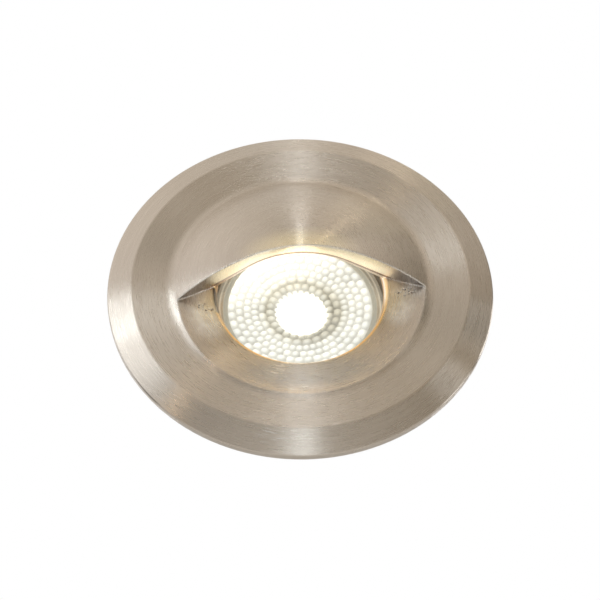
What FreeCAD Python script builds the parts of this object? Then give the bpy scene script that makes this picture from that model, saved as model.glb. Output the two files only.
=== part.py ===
# Round recessed step light: a hooded stainless face on a spigot, pushed into a wall can held by spring arms.
# Frame: the wall surface is the plane Y = 0, the face looks along -Y and +Z is up. Sizes are millimetres.
import FreeCAD
import Part
import math
import os
import re
import Sketcher

os.makedirs("parts", exist_ok=True)
doc = FreeCAD.newDocument("StepLight")
sheet = doc.addObject("Spreadsheet::Sheet", "Sizes")
Vector = FreeCAD.Vector

# Driving sizes: name, value, what it is
sizes = [
    ("face_radius", "57", "outer radius of the face"),
    ("rim_edge", "1.8", "height of the rim's edge above the wall"),
    ("rim_band", "7.2", "radial width of the outer band, from the rim to the ridge"),
    ("ridge_height", "4.8", "height of the ridge above the wall"),
    ("second_band", "11.7", "radial width of the second band, from the ridge to the dome's foot"),
    ("valley_height", "3.8", "height of the dome's foot above the wall"),
    ("dome_height", "16.5", "height of the dome's top above the wall"),
    ("ridge_round", "1.2", "rounding of the ridge"),
    ("foot_round", "4.5", "hollow rounding of the dome's foot"),
    ("rim_round", "0.5", "rounding of the rim's front edge"),
    ("opening_radius", "25.4", "radius of the lens opening"),
    ("opening_round", "0.8", "rounding of the edge between the dish and the opening"),
    ("dish_side_angle", "23.3", "slope of the dish beside the opening, degrees"),
    ("dish_low_angle", "17.5", "slope of the dish below the opening, degrees"),
    ("cut_overrun", "1.5", "how far a cut runs past the face it opens"),
    ("hood_back_rise", "15.5", "hood's underside above the axis, at the back end of its cut"),
    ("hood_back_crown", "27", "radius of the underside's crown at the back end"),
    ("hood_back_slope", "33.7", "slope of the underside's flanks at the back end, degrees"),
    ("hood_front_rise", "3.4", "hood's underside above the axis, at the front end of its cut"),
    ("hood_front_crown", "45.5", "radius of the underside's crown at the front end"),
    ("hood_front_slope", "19.1", "slope of the underside's flanks at the front end, degrees"),
    ("lens_seat", "1.6", "depth of the lens seat behind the wall surface"),
    ("gasket_thickness", "0.8", "thickness of the lens gasket"),
    ("gasket_width", "2.3", "radial width of the lens gasket"),
    ("lens_thickness", "3.2", "thickness of the lens"),
    ("lens_radius", "28.2", "radius of the lens"),
    ("lens_edge", "0.5", "bevel on the lens edges"),
    ("pocket_clearance", "0.3", "radial clearance of the lens in its pocket"),
    ("snap_ring_thickness", "1.2", "thickness of the snap ring"),
    ("snap_ring_width", "2.6", "radial width of the snap ring"),
    ("snap_ring_play", "0.05", "clearance of the snap ring in its groove"),
    ("snap_groove_depth", "0.9", "depth of the snap ring's groove"),
    ("snap_ring_gap", "9", "width of the snap ring's open gap"),
    ("spigot_wall", "3.5", "wall of the spigot behind the face"),
    ("spigot_length", "13", "depth of the spigot's end behind the wall surface"),
    ("bore_clearance", "0.1", "radial clearance of the spigot in the can"),
    ("ring_section", "1.8", "section diameter of the O-ring"),
    ("ring_clearance", "0.05", "clearance of the O-ring at its groove floor and in the can"),
    ("ring_side_play", "0.2", "clearance of the O-ring at each side of its groove"),
    ("ring_depth", "10.1", "depth of the O-ring's centre behind the wall surface"),
    ("wall_gasket_inset", "3", "distance of the wall gasket from the flange recess"),
    ("wall_gasket_width", "6", "radial width of the wall gasket"),
    ("wall_gasket_depth", "1", "thickness of the wall gasket"),
    ("flange_thickness", "1", "thickness of the can's flange"),
    ("flange_inset", "15", "distance of the flange's edge inside the face's rim"),
    ("flange_gap", "0.2", "gap between the face and the flange"),
    ("flange_margin", "0.6", "gap around the flange in the face's recess"),
    ("can_wall", "2.4", "wall of the can"),
    ("mouth_margin", "3", "depth of the can's bore past the spigot's end"),
    ("shoulder_length", "4.6", "length of the can's shoulder"),
    ("barrel_margin", "1.15", "how much wider the can's barrel is than the lamp, in radius"),
    ("waist_radius", "24", "radius of the can at the end of its barrel"),
    ("waist_lead", "1.7", "distance of the barrel's end before the bracket's back"),
    ("end_radius", "17.6", "radius of the can's end wall"),
    ("rear_room", "6.9", "room for wiring behind the bracket"),
    ("post_spread", "15.6", "distance of the screw posts from the axis"),
    ("post_radius", "3", "radius of the screw posts"),
    ("lamp_gap", "3.4", "gap between the snap ring and the lamp"),
    ("lamp_radius", "25.35", "radius of the lamp's rim"),
    ("lamp_rim", "2.4", "length of the lamp's rim"),
    ("lamp_depth", "38.4", "depth of the lamp from its rim to the end of its base"),
    ("lamp_base_length", "11.4", "length of the lamp's base"),
    ("lamp_base_width", "17", "width of the lamp's base"),
    ("lamp_base_height", "10", "height of the lamp's base"),
    ("lamp_neck_radius", "9.6", "outer radius of the reflector's neck"),
    ("lamp_neck_wall", "2.2", "wall of the reflector's neck"),
    ("reflector_bow", "34", "radius of the reflector's curve"),
    ("cover_radius", "23.3", "radius of the lamp's cover glass"),
    ("cover_thickness", "1.4", "thickness of the lamp's cover glass"),
    ("cover_ledge", "1.3", "width of the ledge under the cover glass"),
    ("cover_clearance", "0.05", "clearance around the cover glass"),
    ("capsule_radius", "4.3", "radius of the lamp's capsule"),
    ("capsule_length", "16", "length of the lamp's capsule"),
    ("pin_spacing", "5.33", "distance between the lamp's pins"),
    ("lamp_pin_radius", "0.775", "radius of a lamp pin"),
    ("lamp_pin_length", "6.6", "length of a lamp pin"),
    ("holder_gap", "0.2", "gap between the lamp's base and the lampholder"),
    ("holder_depth", "10.3", "depth of the lampholder"),
    ("holder_width", "25", "width of the lampholder"),
    ("holder_height", "13", "height of the lampholder"),
    ("holder_face", "2", "thickness of the lampholder's front over its contacts"),
    ("holder_screw_spread", "8.4", "distance of the lampholder's screws from the axis"),
    ("holder_sink", "4", "depth of the lampholder's screw sinks"),
    ("pin_hole_clearance", "0.3", "clearance of a lamp pin in the lampholder's front"),
    ("contact_clearance", "0.03", "clearance of a lamp pin in its contact"),
    ("contact_radius", "1.7", "outer radius of a contact sleeve"),
    ("contact_play", "0.05", "clearance of a contact sleeve in the lampholder"),
    ("contact_length", "7", "length of a contact sleeve"),
    ("terminal_setback", "5", "distance of the terminal screws behind the contacts' front"),
    ("terminal_radius", "1.25", "radius of a terminal screw"),
    ("terminal_head_radius", "2.1", "head radius of a terminal screw"),
    ("terminal_head_height", "1.5", "head height of a terminal screw"),
    ("screw_radius", "1.45", "shank radius of the mounting screws"),
    ("screw_clearance", "0.05", "clearance of a mounting screw in its hole"),
    ("screw_head_radius", "2.5", "head radius of the mounting screws"),
    ("screw_head_height", "1.9", "head height of the mounting screws"),
    ("screw_head_room", "0.2", "clearance around a sunk screw head"),
    ("screw_head_bevel", "0.5", "bevel on the heads of all screws"),
    ("screw_bite", "5", "length of a mounting screw past the bracket's front"),
    ("slot_width", "0.8", "width of the screws' driver slots"),
    ("slot_depth", "0.8", "depth of the screws' driver slots"),
    ("bracket_thickness", "1.2", "thickness of the socket bracket"),
    ("bracket_reach", "2.9", "length of the bracket past its outer screws"),
    ("bracket_height", "9.6", "height of the bracket"),
    ("bracket_window_width", "10", "width of the bracket's wire window"),
    ("bracket_window_height", "6", "height of the bracket's wire window"),
    ("gland_thread_radius", "6", "thread radius of the cable gland"),
    ("gland_thread_clearance", "0.1", "clearance around the gland's thread"),
    ("gland_thread_spare", "1", "length of thread past the locknut"),
    ("gland_bore", "3.4", "bore radius of the gland's thread"),
    ("gland_washer_thickness", "1", "thickness of the gland's washer"),
    ("gland_washer_radius", "8.2", "radius of the gland's washer"),
    ("gland_hex_radius", "8.66", "corner radius of the gland's hexagons"),
    ("gland_hex_length", "4", "length of the gland body's hexagon"),
    ("gland_neck_length", "7", "length of the gland's neck behind its hexagon"),
    ("gland_nut_gap", "0.6", "gap between the gland's hexagon and its nut"),
    ("gland_nut_throat", "4", "length of the nut's end past the neck"),
    ("gland_nut_hole", "3.8", "radius of the hole in the nut's end"),
    ("gland_nut_round", "4.2", "rounding of the nut's end"),
    ("gland_nut_corner", "0.3", "depth turned off the nut's corners"),
    ("gland_seal_radius", "4.5", "outer radius of the gland's seal"),
    ("gland_seal_bore", "2.9", "bore radius of the gland's seal"),
    ("gland_seal_seat", "1", "thickness of the neck's floor under the seal"),
    ("gland_seal_play", "0.05", "clearance of the seal in the neck"),
    ("locknut_thickness", "2.6", "thickness of the locknut"),
    ("locknut_radius", "9.8", "corner radius of the locknut"),
    ("pivot_standoff", "2.8", "distance of the arm pivots outside the barrel"),
    ("pivot_setback", "3", "distance of the arm pivots behind the shoulder"),
    ("pivot_pin_radius", "1.25", "radius of an arm's pivot pin"),
    ("pivot_clearance", "0.05", "radial clearance of a pivot pin"),
    ("pivot_head_radius", "2.1", "head radius of a pivot pin"),
    ("pivot_head_height", "1.1", "head height of a pivot pin"),
    ("pivot_tail", "0.8", "length of a pivot pin past its lower lug"),
    ("lug_radius", "2.6", "radius of the pivot lugs"),
    ("lug_thickness", "2.5", "thickness of the pivot lugs"),
    ("lug_gap", "0.3", "gap between an arm and its lugs"),
    ("lug_sink", "3", "how far a lug runs into the barrel's wall"),
    ("arm_length", "26", "length of an arm from its pivot"),
    ("arm_width", "14.4", "width of an arm at its pivot"),
    ("arm_tip_width", "9", "width of an arm at its tip"),
    ("arm_thickness", "1", "thickness of an arm"),
    ("arm_knuckle", "2.4", "radius of an arm's knuckles"),
    ("arm_window_width", "8.4", "width of an arm's spring window"),
    ("arm_window_length", "4.6", "length of an arm's spring window"),
    ("pad_length", "6", "length of an arm's pad"),
    ("pad_wall", "0.8", "wall of an arm's pad"),
    ("stop_gap", "0.65", "gap between a resting arm and the edge of the can's mouth"),
    ("wire_radius", "0.42", "wire radius of the torsion springs"),
    ("coil_radius", "2.1", "mean radius of the torsion springs"),
    ("coil_height", "6.6", "height of the torsion springs between their legs"),
    ("coil_turns", "5", "turns of the torsion springs"),
    ("fixed_leg_angle", "45", "angle of a spring's fixed leg, degrees"),
    ("moving_leg", "9.6", "length of a spring's leg along its arm"),
    ("leg_gap", "0.3", "gap between a spring's legs and their seats"),
]
for row, (name, value, note) in enumerate(sizes, 1):
    sheet.set(f"A{row}", note)
    sheet.set(f"B{row}", value)
    sheet.setAlias(f"B{row}", name)
doc.recompute()
size_names = re.compile(r"\b(" + "|".join(name for name, value, note in sizes) + r")\b")

# Places and sizes that follow from the driving ones
ridge_radius = "(face_radius - rim_band)"
valley_radius = f"({ridge_radius} - second_band)"
pocket_radius = "(lens_radius + pocket_clearance)"
spigot_radius = f"({pocket_radius} + spigot_wall)"
can_bore = f"({spigot_radius} + bore_clearance)"
mouth_radius = f"({can_bore} + can_wall)"
flange_radius = "(face_radius - flange_inset)"
recess_radius = f"({flange_radius} + flange_margin)"
recess_depth = "(flange_thickness + flange_gap)"
wall_gasket_inner = f"({recess_radius} + wall_gasket_inset)"
wall_gasket_outer = f"({wall_gasket_inner} + wall_gasket_width)"
cut_front = "(dome_height + cut_overrun)"
cut_back = "(lens_seat + cut_overrun)"
cut_reach = "(face_radius + cut_overrun)"
dish_front_radius = f"(opening_radius + {cut_front} / tan(dish_side_angle))"
dish_front_drop = f"({cut_front} / tan(dish_low_angle) - {cut_front} / tan(dish_side_angle))"
dome_sag = "(dome_height - valley_height)"
dome_radius = f"(({valley_radius} ^ 2 + {dome_sag} ^ 2) / (2 * {dome_sag}))"
lens_front = "(lens_seat + gasket_thickness)"
lens_back = f"({lens_front} + lens_thickness)"
snap_ring_back = f"({lens_back} + snap_ring_thickness)"
snap_groove_radius = f"({pocket_radius} + snap_groove_depth)"
snap_ring_outer = f"({snap_groove_radius} - snap_ring_play)"
snap_ring_inner = f"({snap_ring_outer} - snap_ring_width)"
ring_floor = f"({can_bore} - 2 * ring_clearance - ring_section)"
ring_half_groove = "(ring_section / 2 + ring_side_play)"
ring_centre = f"({can_bore} - ring_clearance - ring_section / 2)"
lamp_front = f"({snap_ring_back} + lamp_gap)"
lamp_back = f"({lamp_front} + lamp_depth)"
lamp_base_front = f"({lamp_back} - lamp_base_length)"
holder_front = f"({lamp_back} + holder_gap)"
holder_back = f"({holder_front} + holder_depth)"
contact_front = f"({holder_front} + holder_face)"
bracket_back = f"({holder_back} + bracket_thickness)"
mouth_depth = "(spigot_length + mouth_margin)"
shoulder_end = f"({mouth_depth} + shoulder_length + can_wall)"
barrel_radius = "(lamp_radius + barrel_margin)"
waist_depth = f"({bracket_back} - waist_lead)"
end_inner = f"({bracket_back} + rear_room)"
end_outer = f"({end_inner} + can_wall)"
screw_hole = "(screw_radius + screw_clearance)"
gland_hole = "(gland_thread_radius + gland_thread_clearance)"
gland_hex_front = f"({end_outer} + gland_washer_thickness)"
gland_hex_back = f"({gland_hex_front} + gland_hex_length)"
gland_neck_end = f"({gland_hex_back} + gland_neck_length)"
gland_seal_front = f"({gland_hex_back} + gland_seal_seat)"
gland_nut_shoulder = f"({gland_neck_end} + gland_nut_gap)"
gland_nut_end = f"({gland_nut_shoulder} + gland_nut_throat)"
pivot_across = f"({barrel_radius} + pivot_standoff)"
pivot_depth = f"({shoulder_end} + pivot_setback)"
lug_inner = "(arm_width / 2 + lug_gap)"
lug_outer = f"({lug_inner} + lug_thickness)"
pivot_hole = "(pivot_pin_radius + pivot_clearance)"
stop_across = f"({mouth_radius} - {pivot_across})"
stop_ahead = f"({pivot_depth} - {mouth_depth} - can_wall)"
stop_reach = f"sqrt({stop_across} ^ 2 + {stop_ahead} ^ 2)"
rest_angle = f"(atan({stop_ahead} / {stop_across}) - asin((arm_thickness / 2 + stop_gap) / {stop_reach}))"
side_sign = {"left": -1, "right": 1}


def bound(text):
    """The expression with each size name pointed at its cell."""
    return size_names.sub(r"Sizes.\1", text)


def number(text):
    """The present value of an expression."""
    return float(sheet.evalExpression(bound(text)))


def bind(item, field, text):
    item.setExpression(field, bound(text))


def place(item, x="0", y="0", z="0", axis=None, angle="0"):
    """Bind an item's position, and its turn about an axis where one is given."""
    if axis is not None:
        item.Placement = FreeCAD.Placement(Vector(), FreeCAD.Rotation(axis, number(angle)))
        bind(item, "Placement.Rotation.Angle", angle)
    for field, text in (("x", x), ("y", y), ("z", z)):
        bind(item, f"Placement.Base.{field}", text)
    return item


def dimension(sketch, kind, first, second, text):
    """A signed distance from the first point to the second, bound to an expression."""
    value = number(text)
    if value < 0:
        first, second, value, text = second, first, -value, f"-({text})"
    row = sketch.addConstraint(Sketcher.Constraint(kind, *first, *second, value))
    bind(sketch, f"Constraints[{row}]", text)


def fix_point(sketch, point, across, up):
    """Hold a sketch point at its two coordinates."""
    origin = (-1, 1)
    for kind, text, axis in (("DistanceX", across, -2), ("DistanceY", up, -1)):
        if text == "0":
            sketch.addConstraint(Sketcher.Constraint("PointOnObject", *point, axis))
        else:
            dimension(sketch, kind, origin, point, text)


def add_side(sketch, start, finish, bow):
    """A line, or an arc of the given radius whose centre is left (1) or right (-1) of the way along it."""
    if not bow:
        return sketch.addGeometry(Part.LineSegment(start, finish)), 1, 2
    radius = number(bow[0])
    chord = finish - start
    to_left = Vector(-chord.y, chord.x, 0).normalize()
    centre = (start + finish) * 0.5 + to_left * (bow[1] * math.sqrt(radius ** 2 - chord.Length ** 2 / 4))
    angles = [math.atan2(point.y - centre.y, point.x - centre.x) for point in (start, finish)]
    if bow[1] < 0:
        angles.reverse()
    if angles[1] < angles[0]:
        angles[1] += 2 * math.pi
    side = sketch.addGeometry(Part.ArcOfCircle(Part.Circle(centre, Vector(0, 0, 1), radius), *angles))
    row = sketch.addConstraint(Sketcher.Constraint("Radius", side, radius))
    bind(sketch, f"Constraints[{row}]", bow[0])
    return (side, 1, 2) if bow[1] > 0 else (side, 2, 1)


def draw_outline(sketch, corners):
    """A closed outline through corners (across, up), where a third entry bows the side after the corner."""
    points = [Vector(number(corner[0]), number(corner[1]), 0) for corner in corners]
    sides = []
    for here, corner in enumerate(corners):
        finish = points[(here + 1) % len(points)]
        sides.append(add_side(sketch, points[here], finish, corner[2] if len(corner) > 2 else None))
    for here, (side, start, finish) in enumerate(sides):
        before, before_start, before_finish = sides[here - 1]
        sketch.addConstraint(Sketcher.Constraint("Coincident", before, before_finish, side, start))
        fix_point(sketch, (side, start), corners[here][0], corners[here][1])


def draw_circle(sketch, across, up, radius):
    centre = Vector(number(across), number(up), 0)
    circle = sketch.addGeometry(Part.Circle(centre, Vector(0, 0, 1), number(radius)))
    fix_point(sketch, (circle, 3), across, up)
    row = sketch.addConstraint(Sketcher.Constraint("Radius", circle, number(radius)))
    bind(sketch, f"Constraints[{row}]", radius)


def new_sketch(body, name, role, offset="0"):
    """A sketch on one of its body's origin planes, moved along that plane's normal."""
    sketch = body.newObject("Sketcher::SketchObject", name)
    plane = next(item for item in body.Origin.OriginFeatures if item.Role == role)
    sketch.AttachmentSupport = [(plane, "")]
    sketch.MapMode = "FlatFace"
    bind(sketch, "AttachmentOffset.Base.z", offset)
    return sketch


def spun(label, corners):
    """A body turned about the Y axis from an outline of (radius, depth) corners."""
    body = doc.addObject("PartDesign::Body", label)
    sketch = new_sketch(body, label + "_outline", "XY_Plane")
    draw_outline(sketch, corners)
    turn = body.newObject("PartDesign::Revolution", label + "_turn")
    turn.Profile = sketch
    turn.ReferenceAxis = (sketch, ["V_Axis"])
    turn.Angle = 360
    return body


def plate(label, corners, depth, thickness, holes=(), windows=()):
    """A body of even thickness along +Y from an (x, z) outline, with round holes and cornered windows."""
    body = doc.addObject("PartDesign::Body", label)
    sketch = new_sketch(body, label + "_outline", "XZ_Plane", f"-({depth})")
    for outline in (corners, *windows):
        draw_outline(sketch, outline)
    for hole in holes:
        draw_circle(sketch, *hole)
    pad = body.newObject("PartDesign::Pad", label + "_pad")
    pad.Profile = sketch
    pad.Reversed = True
    bind(pad, "Length", thickness)
    return body


def box_outline(left, low, right, high):
    return [(left, low), (right, low), (right, high), (left, high)]


def rod(label, radius, length, x="0", y="0", z="0", upright=False):
    """A cylinder along +Y, or along +Z where it is upright."""
    item = doc.addObject("Part::Cylinder", label)
    bind(item, "Radius", radius)
    bind(item, "Height", length)
    return place(item, x, y, z) if upright else place(item, x, y, z, Vector(1, 0, 0), "-90")


def hexagon(label, radius, length, y):
    """A hexagonal bar along +Y."""
    item = doc.addObject("Part::Prism", label)
    item.Polygon = 6
    bind(item, "Circumradius", radius)
    bind(item, "Height", length)
    return place(item, "0", y, "0", Vector(1, 0, 0), "-90")


def block(label, x, y, z, width, depth, height):
    """A box from its lowest corner."""
    item = doc.addObject("Part::Box", label)
    bind(item, "Length", width)
    bind(item, "Width", depth)
    bind(item, "Height", height)
    return place(item, x, y, z)


def cut(label, base, tool):
    item = doc.addObject("Part::Cut", label)
    item.Base = base
    item.Tool = tool
    return item


def common(label, base, tool):
    item = doc.addObject("Part::Common", label)
    item.Base = base
    item.Tool = tool
    return item


def fuse(label, pieces):
    item = doc.addObject("Part::MultiFuse", label)
    item.Shapes = pieces
    return item


def group(label, pieces):
    """Separate solids kept together."""
    item = doc.addObject("Part::Compound", label)
    item.Links = pieces
    return item


def round_edge(body, name, base, radius, depth, rounding):
    """Round the turned edge of a body that has this radius and depth."""
    doc.recompute()
    names = []
    for index, edge in enumerate(base.Shape.Edges, 1):
        if edge.Degenerated or not isinstance(edge.Curve, Part.Circle):
            continue
        across = abs(edge.Curve.Radius - number(radius))
        along = abs(edge.Curve.Center.y - number(depth))
        if max(across, along) < 1e-4:
            names.append(f"Edge{index}")
    fillet = body.newObject("PartDesign::Fillet", name)
    fillet.Base = (base, names)
    bind(fillet, "Radius", rounding)
    return fillet


def ring(label, inner, outer, front, back):
    return spun(label, [(inner, front), (outer, front), (outer, back), (inner, back)])


def hood_section(body, name, depth, rise, crown, slope):
    """Space under the hood at one depth: a round crown that runs out in straight flanks."""
    sketch = new_sketch(body, name, "XZ_Plane", f"-({depth})")
    flank = f"({crown} * sin({slope}))"
    shoulder = f"({rise} - {crown} * (1 - cos({slope})))"
    foot = f"({shoulder} - ({cut_reach} - {flank}) * tan({slope}))"
    draw_outline(sketch, [
        (f"-{cut_reach}", f"-{cut_reach}"),
        (cut_reach, f"-{cut_reach}"),
        (cut_reach, foot),
        (flank, shoulder, (crown, 1)),
        (f"-{flank}", shoulder),
        (f"-{cut_reach}", foot),
    ])
    return sketch


def make_dish():
    """Space of the dish and the opening: a cone that leans downwards as it widens, on a round hole."""
    dish = doc.addObject("PartDesign::Body", "dish_space")
    inner = new_sketch(dish, "dish_inner", "XZ_Plane")
    draw_circle(inner, "0", "0", "opening_radius")
    outer = new_sketch(dish, "dish_outer", "XZ_Plane", cut_front)
    draw_circle(outer, "0", f"-{dish_front_drop}", dish_front_radius)
    cone = dish.newObject("PartDesign::AdditiveLoft", "dish_cone")
    cone.Profile = inner
    cone.Sections = [outer]
    cone.Ruled = True
    hole = dish.newObject("PartDesign::Pad", "opening_hole")
    hole.Profile = inner
    hole.Reversed = True
    bind(hole, "Length", cut_back)
    round_edge(dish, "opening_fillet", hole, "opening_radius", "0", "opening_round")
    return dish


def make_face():
    """Turned face with its spigot, then the cut that leaves the hood and the dish below it."""
    groove_back = f"({snap_ring_back} + snap_ring_play)"
    blank = spun("face_blank", [
        ("0", "lens_seat"),
        (pocket_radius, "lens_seat"),
        (pocket_radius, lens_back),
        (snap_groove_radius, lens_back),
        (snap_groove_radius, groove_back),
        (pocket_radius, groove_back),
        (pocket_radius, "spigot_length"),
        (spigot_radius, "spigot_length"),
        (spigot_radius, f"ring_depth + {ring_half_groove}"),
        (ring_floor, f"ring_depth + {ring_half_groove}"),
        (ring_floor, f"ring_depth - {ring_half_groove}"),
        (spigot_radius, f"ring_depth - {ring_half_groove}"),
        (spigot_radius, f"-{recess_depth}"),
        (recess_radius, f"-{recess_depth}"),
        (recess_radius, "0"),
        (wall_gasket_inner, "0"),
        (wall_gasket_inner, "-wall_gasket_depth"),
        (wall_gasket_outer, "-wall_gasket_depth"),
        (wall_gasket_outer, "0"),
        ("face_radius", "0"),
        ("face_radius", "-rim_edge"),
        (ridge_radius, "-ridge_height"),
        (valley_radius, "-valley_height", (dome_radius, -1)),
        ("0", "-dome_height"),
    ])
    ridge = round_edge(blank, "ridge_fillet", blank.Tip, ridge_radius, "-ridge_height", "ridge_round")
    foot = round_edge(blank, "foot_fillet", ridge, valley_radius, "-valley_height", "foot_round")
    round_edge(blank, "rim_fillet", foot, "face_radius", "-rim_edge", "rim_round")
    dish = make_dish()
    under_hood = doc.addObject("PartDesign::Body", "under_hood")
    back = hood_section(under_hood, "hood_back", cut_back, "hood_back_rise", "hood_back_crown",
                        "hood_back_slope")
    front = hood_section(under_hood, "hood_front", f"-{cut_front}", "hood_front_rise",
                         "hood_front_crown", "hood_front_slope")
    loft = under_hood.newObject("PartDesign::AdditiveLoft", "hood_loft")
    loft.Profile = back
    loft.Sections = [front]
    loft.Ruled = True
    return cut("eyelid_face", blank, common("eye_cut", dish, under_hood))


def make_lens_stack():
    """Gasket, lens and the snap ring that holds both in the face's pocket."""
    bevel_front = f"({lens_front} + lens_edge)"
    bevel_back = f"({lens_back} - lens_edge)"
    gasket = ring("lens_gasket", "lens_radius - gasket_width", "lens_radius", "lens_seat", lens_front)
    lens = spun("lens", [
        ("0", lens_front),
        ("lens_radius - lens_edge", lens_front),
        ("lens_radius", bevel_front),
        ("lens_radius", bevel_back),
        ("lens_radius - lens_edge", lens_back),
        ("0", lens_back),
    ])
    hoop = ring("snap_hoop", snap_ring_inner, snap_ring_outer, lens_back, snap_ring_back)
    gap = block("snap_gap", "-snap_ring_gap / 2", f"{lens_back} - cut_overrun",
                f"-{snap_ring_outer} - cut_overrun", "snap_ring_gap",
                "snap_ring_thickness + 2 * cut_overrun", "snap_ring_width + 2 * cut_overrun")
    return [gasket, lens, cut("lens_snap_ring", hoop, gap)]


def make_seals():
    """Wall gasket behind the rim and the O-ring on the spigot."""
    wall_gasket = ring("wall_gasket", wall_gasket_inner, wall_gasket_outer, "-wall_gasket_depth", "0")
    o_ring = doc.addObject("Part::Torus", "spigot_o_ring")
    bind(o_ring, "Radius1", ring_centre)
    bind(o_ring, "Radius2", "ring_section / 2")
    place(o_ring, "0", "ring_depth", "0", Vector(1, 0, 0), "-90")
    return [wall_gasket, o_ring]


def arm_frame(label, side, pieces):
    """Pieces drawn along an arm, X outwards from its pivot, set at the arm's place and rest angle."""
    angle = f"-{rest_angle}" if side == "right" else f"180 deg + {rest_angle}"
    item = group(label, pieces)
    return place(item, f"{side_sign[side]} * {pivot_across}", pivot_depth, "0", Vector(0, 0, 1), angle)


def make_can():
    """Wall can: turned shell, pivot lugs, screw posts and their holes."""
    shell = spun("can_shell", [
        (can_bore, "-flange_thickness"),
        (flange_radius, "-flange_thickness"),
        (flange_radius, "0"),
        (mouth_radius, "0"),
        (mouth_radius, f"{mouth_depth} + can_wall"),
        (barrel_radius, shoulder_end),
        ("waist_radius", waist_depth),
        ("end_radius", end_outer),
        (gland_hole, end_outer),
        (gland_hole, end_inner),
        ("end_radius - can_wall", end_inner),
        ("waist_radius - can_wall", waist_depth),
        (f"{barrel_radius} - can_wall", f"{shoulder_end} - can_wall"),
        (can_bore, mouth_depth),
    ])
    solids = [shell]
    holes = []
    post_length = f"({end_inner} - {bracket_back} + can_wall / 2)"
    for side, sign in side_sign.items():
        for level, start in (("upper", lug_inner), ("lower", f"-{lug_outer}")):
            eye = rod(f"{side}_{level}_lug_eye", "lug_radius", "lug_thickness",
                      f"{sign} * {pivot_across}", pivot_depth, start, upright=True)
            inner_end = f"{sign} * {pivot_across} - (1 + {sign}) / 2 * (pivot_standoff + lug_sink)"
            root = block(f"{side}_{level}_lug_root", inner_end, f"{pivot_depth} - lug_radius", start,
                         "pivot_standoff + lug_sink", "2 * lug_radius", "lug_thickness")
            solids += [eye, root]
        solids.append(rod(f"{side}_post", "post_radius", post_length, f"{sign} * post_spread", bracket_back))
        holes.append(rod(f"{side}_post_hole", screw_hole, "screw_bite - bracket_thickness + cut_overrun",
                         f"{sign} * post_spread", bracket_back))
        holes.append(rod(f"{side}_pivot_hole", pivot_hole, f"2 * ({lug_outer} + cut_overrun)",
                         f"{sign} * {pivot_across}", pivot_depth, f"-{lug_outer} - cut_overrun",
                         upright=True))
    return cut("housing_can", fuse("can_solids", solids), group("can_holes", holes))


def make_lamp():
    """Two-pin reflector lamp: reflector, cover glass, capsule, base and pins."""
    ledge_depth = f"({lamp_front} + cover_thickness)"
    seat_radius = "(cover_radius + cover_clearance)"
    reflector = spun("lamp_reflector", [
        (seat_radius, lamp_front),
        ("lamp_radius", lamp_front),
        ("lamp_radius", f"{lamp_front} + lamp_rim", ("reflector_bow", 1)),
        ("lamp_neck_radius", lamp_base_front),
        ("lamp_neck_radius - lamp_neck_wall", lamp_base_front, ("reflector_bow", -1)),
        (f"{seat_radius} - cover_ledge", ledge_depth),
        (seat_radius, ledge_depth),
    ])
    cover = spun("lamp_cover_glass", [
        ("0", lamp_front),
        ("cover_radius", lamp_front),
        ("cover_radius", ledge_depth),
        ("0", ledge_depth),
    ])
    capsule_front = f"({lamp_base_front} - capsule_length)"
    capsule = spun("lamp_capsule", [
        ("0", capsule_front, ("capsule_radius", 1)),
        ("capsule_radius", f"{capsule_front} + capsule_radius"),
        ("capsule_radius", lamp_base_front),
        ("0", lamp_base_front),
    ])
    base = block("lamp_base", "-lamp_base_width / 2", lamp_base_front, "-lamp_base_height / 2",
                 "lamp_base_width", "lamp_base_length", "lamp_base_height")
    pins = [rod(f"{side}_lamp_pin", "lamp_pin_radius", "lamp_pin_length",
                f"{sign} * pin_spacing / 2", lamp_back)
            for side, sign in side_sign.items()]
    return [reflector, cover, capsule, base, group("lamp_pins", pins)]


def screw(label, head_radius, head_height, radius, length):
    """Slotted pan screw along +Y, with the seat of its head at the origin."""
    turned = spun(label + "_blank", [
        ("0", f"-{head_height}"),
        (f"{head_radius} - screw_head_bevel", f"-{head_height}"),
        (head_radius, f"screw_head_bevel - {head_height}"),
        (head_radius, "0"),
        (radius, "0"),
        (radius, length),
        ("0", length),
    ])
    slot = block(label + "_slot", f"-{head_radius} - cut_overrun", f"-{head_height} - cut_overrun",
                 "-slot_width / 2", f"2 * ({head_radius} + cut_overrun)", "slot_depth + cut_overrun",
                 "slot_width")
    return cut(label, turned, slot)


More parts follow.
